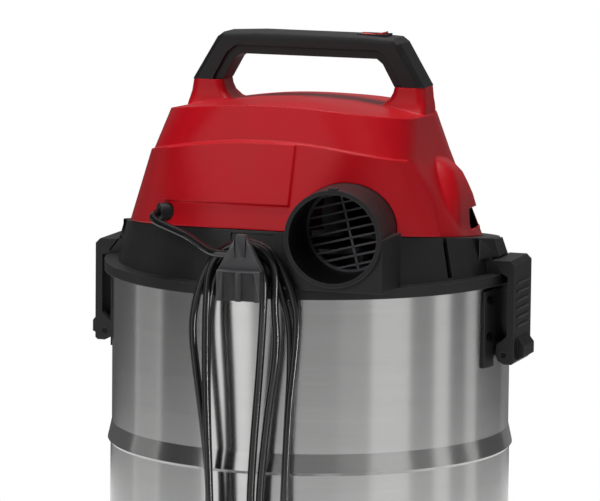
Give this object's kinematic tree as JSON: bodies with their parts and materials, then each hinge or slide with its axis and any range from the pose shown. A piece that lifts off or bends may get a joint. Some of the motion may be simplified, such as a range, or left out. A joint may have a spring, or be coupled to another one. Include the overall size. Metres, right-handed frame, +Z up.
{
  "type": "wet and dry shop vacuum",
  "caption": "Wet and dry shop vacuum: steel drum on casters, lift-off motor head with red cover, carry handle, blower outlet, drum latches and cord coiled on a rear hook.",
  "frame": {"origin": "on the floor under the drum's axis, at the middle of the base of the box without the cord", "axes": "+Z up along the drum's axis, -Y toward the hose inlet, +Y toward the blower outlet and the cord hook, +X toward the left latch"},
  "size_m": [0.376, 0.4132, 0.6044],
  "materials": {
    "steel": "brushed",
    "black": "satin",
    "red": "gloss",
    "grey": "satin",
    "zinc": "zinc plated",
    "rubber": "matt",
    "tread": "matt",
    "cord": "matt",
    "brass": "satin",
    "paper": "matt",
    "white": "satin",
    "switch_red": "gloss",
    "lamination": "plain",
    "aluminium": "satin",
    "carbon": "matt"
  },
  "bodies": {
    "tank": {"drum": "steel", "drum_front": "steel", "drum_floor": "steel", "drum_base": "black", "base_plate": "black", "base_screws": "zinc", "inlet_port": "black", "inlet_seal": "rubber", "inlet_screws": "zinc", "inlet_baffle": "black", "bracket_rivets": "zinc", "latch_bracket_left": "grey", "latch_bracket_right": "grey", "latch_pin_left": "zinc", "latch_pin_right": "zinc"},
    "latch_left": {"latch_left": "black"},
    "latch_right": {"latch_right": "black"},
    "head": {"collar": "grey", "collar_seal": "rubber", "motor_cover": "red", "cover_screws": "zinc", "handle": "black", "handle_screws": "zinc", "switch_bezel": "black", "blower_tube": "black", "blower_grille": "grey", "side_vent_left": "black", "side_vent_right": "black", "cord_gland": "black", "cord_hook": "grey", "cord_lead": "cord", "cord_hank": "cord", "cord_tail": "cord", "plug": "cord", "plug_pins": "brass", "filter_cage": "black", "filter_element": "paper", "filter_retainer": "black", "fan_housing": "aluminium", "motor_bearings": "zinc", "motor_mount": "rubber", "motor_stator": "lamination", "motor_cap": "black", "carbon_brushes": "carbon"},
    "switch": {"switch_rocker": "switch_red"},
    "rotor": {"motor_rotor": "lamination", "impeller": "aluminium"},
    "float": {"float": "white"},
    "caster_swivel_1": {"caster_fork_1": "zinc", "caster_axle_1": "zinc"},
    "caster_wheel_1": {"caster_wheel_1": "tread"},
    "caster_swivel_2": {"caster_fork_2": "zinc", "caster_axle_2": "zinc"},
    "caster_wheel_2": {"caster_wheel_2": "tread"},
    "caster_swivel_3": {"caster_fork_3": "zinc", "caster_axle_3": "zinc"},
    "caster_wheel_3": {"caster_wheel_3": "tread"},
    "caster_swivel_4": {"caster_fork_4": "zinc", "caster_axle_4": "zinc"},
    "caster_wheel_4": {"caster_wheel_4": "tread"}
  },
  "joints": [
    {"name": "head_lift", "type": "slide", "parent": "tank", "child": "head", "axis": [0, 0, 1], "range_m": [0, 0.105]},
    {"name": "latch_left_turn", "type": "hinge", "parent": "tank", "child": "latch_left", "pos_m": [0.1735, 0, 0.346], "axis": [0, 1, 0], "range_deg": [0, 84.5]},
    {"name": "latch_right_turn", "type": "hinge", "parent": "tank", "child": "latch_right", "pos_m": [-0.1735, 0, 0.346], "axis": [0, -1, 0], "range_deg": [0, 84.5]},
    {"name": "caster_swivel_1", "type": "hinge", "parent": "tank", "child": "caster_swivel_1", "pos_m": [0.12869, 0.12869, 0.07], "axis": [0, 0, 1], "continuous": true},
    {"name": "caster_roll_1", "type": "hinge", "parent": "caster_swivel_1", "child": "caster_wheel_1", "pos_m": [0.12869, 0.14869, 0.022], "axis": [1, 0, 0], "continuous": true},
    {"name": "caster_swivel_2", "type": "hinge", "parent": "tank", "child": "caster_swivel_2", "pos_m": [-0.12869, 0.12869, 0.07], "axis": [0, 0, 1], "continuous": true},
    {"name": "caster_roll_2", "type": "hinge", "parent": "caster_swivel_2", "child": "caster_wheel_2", "pos_m": [-0.12869, 0.14869, 0.022], "axis": [1, 0, 0], "continuous": true},
    {"name": "caster_swivel_3", "type": "hinge", "parent": "tank", "child": "caster_swivel_3", "pos_m": [-0.12869, -0.12869, 0.07], "axis": [0, 0, 1], "continuous": true},
    {"name": "caster_roll_3", "type": "hinge", "parent": "caster_swivel_3", "child": "caster_wheel_3", "pos_m": [-0.12869, -0.10869, 0.022], "axis": [1, 0, 0], "continuous": true},
    {"name": "caster_swivel_4", "type": "hinge", "parent": "tank", "child": "caster_swivel_4", "pos_m": [0.12869, -0.12869, 0.07], "axis": [0, 0, 1], "continuous": true},
    {"name": "caster_roll_4", "type": "hinge", "parent": "caster_swivel_4", "child": "caster_wheel_4", "pos_m": [0.12869, -0.10869, 0.022], "axis": [1, 0, 0], "continuous": true},
    {"name": "switch_rock", "type": "hinge", "parent": "head", "child": "switch", "pos_m": [-0.053, 0.002, 0.5962], "axis": [0, -1, 0], "range_deg": [0, 10]},
    {"name": "motor_spin", "type": "hinge", "parent": "head", "child": "rotor", "pos_m": [0, 0, 0.46], "axis": [0, 0, 1], "continuous": true},
    {"name": "float_rise", "type": "slide", "parent": "head", "child": "float", "axis": [0, 0, 1], "range_m": [0, 0.056]}
  ],
  "couplings": [
    {"joint": "latch_left_turn", "follows": "head_lift", "rad_per_m": 14},
    {"joint": "latch_right_turn", "follows": "head_lift", "rad_per_m": 14}
  ]
}
